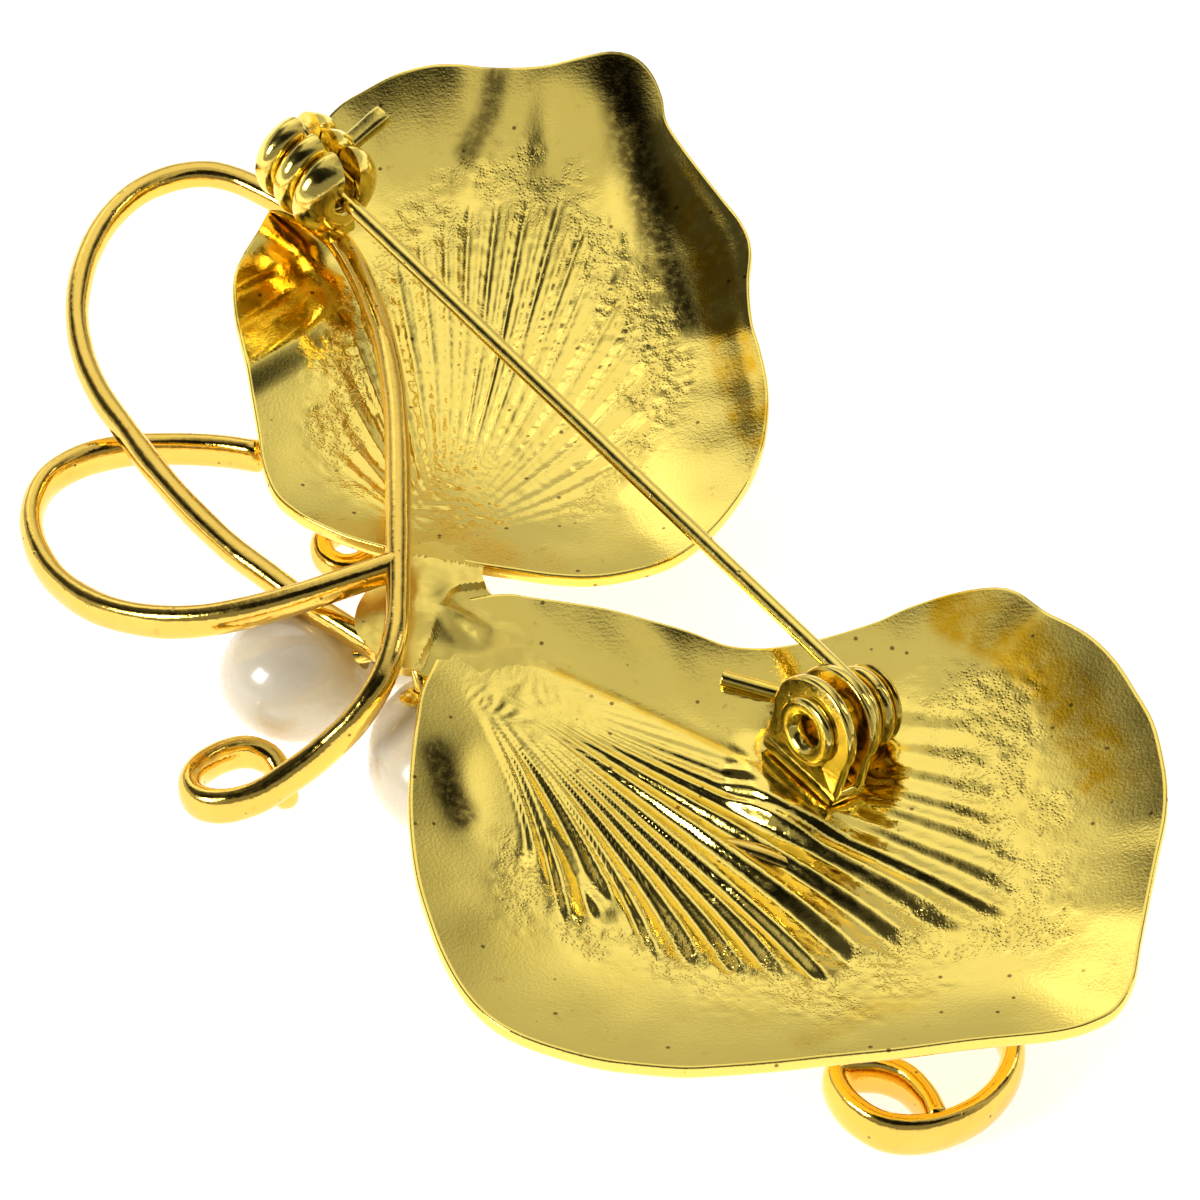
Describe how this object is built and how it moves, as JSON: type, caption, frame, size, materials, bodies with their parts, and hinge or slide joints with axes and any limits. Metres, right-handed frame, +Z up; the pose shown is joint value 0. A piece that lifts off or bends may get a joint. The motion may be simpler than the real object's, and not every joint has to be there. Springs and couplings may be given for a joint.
{
  "type": "brooch",
  "caption": "Gold-toned brooch lying face down: two ribbed leaf shells, wire tendrils and pearls on a hub, with a sprung pin and a rotating safety catch.",
  "frame": {"origin": "middle of the brooch's plan box, on the surface that its pearls and front tendrils rest on", "axes": "+Z up out of the back (pin side), +Y along the longest extent towards the catch, +X towards the hinge"},
  "size_m": [0.0571, 0.0659, 0.014],
  "materials": {
    "gold_plate": "polished gold plating over brass, ribs and stipple in the leaves",
    "gold_wire": "polished gold plating over brass wire",
    "pearl": "white nacre, soft lustre"
  },
  "bodies": {
    "root": {"upper_leaf": "gold_plate", "lower_leaf": "gold_plate", "hub": "gold_plate", "catch_tendril": "gold_wire", "left_tendril": "gold_wire", "upper_front_tendril": "gold_wire", "lower_front_tendril": "gold_wire", "pearl_left": "pearl", "pearl_lower": "pearl", "pearl_centre": "pearl", "pearl_cup_left": "gold_wire", "pearl_cup_lower": "gold_wire", "pearl_cup_centre": "gold_wire", "pearl_post_left": "gold_wire", "pearl_post_lower": "gold_wire", "pearl_post_centre": "gold_wire", "hinge_bracket": "gold_wire", "hinge_rivet": "gold_wire", "spring_tail": "gold_wire", "catch_housing": "gold_wire"},
    "pin": {"pin_stem": "gold_wire"},
    "catch_rotor_body": {"catch_rotor": "gold_wire"}
  },
  "joints": [
    {"name": "pin_hinge", "type": "hinge", "parent": "root", "child": "pin", "pos_m": [0.01327, -0.01184, 0.00901], "axis": [0.7431, 0.6172, -0.2587], "range_deg": [0, 75]},
    {"name": "catch_turn", "type": "hinge", "parent": "root", "child": "catch_rotor_body", "pos_m": [-0.01374, 0.02252, 0.01145], "axis": [0.6261, -0.7796, -0.0171], "range_deg": [0, 95]}
  ]
}
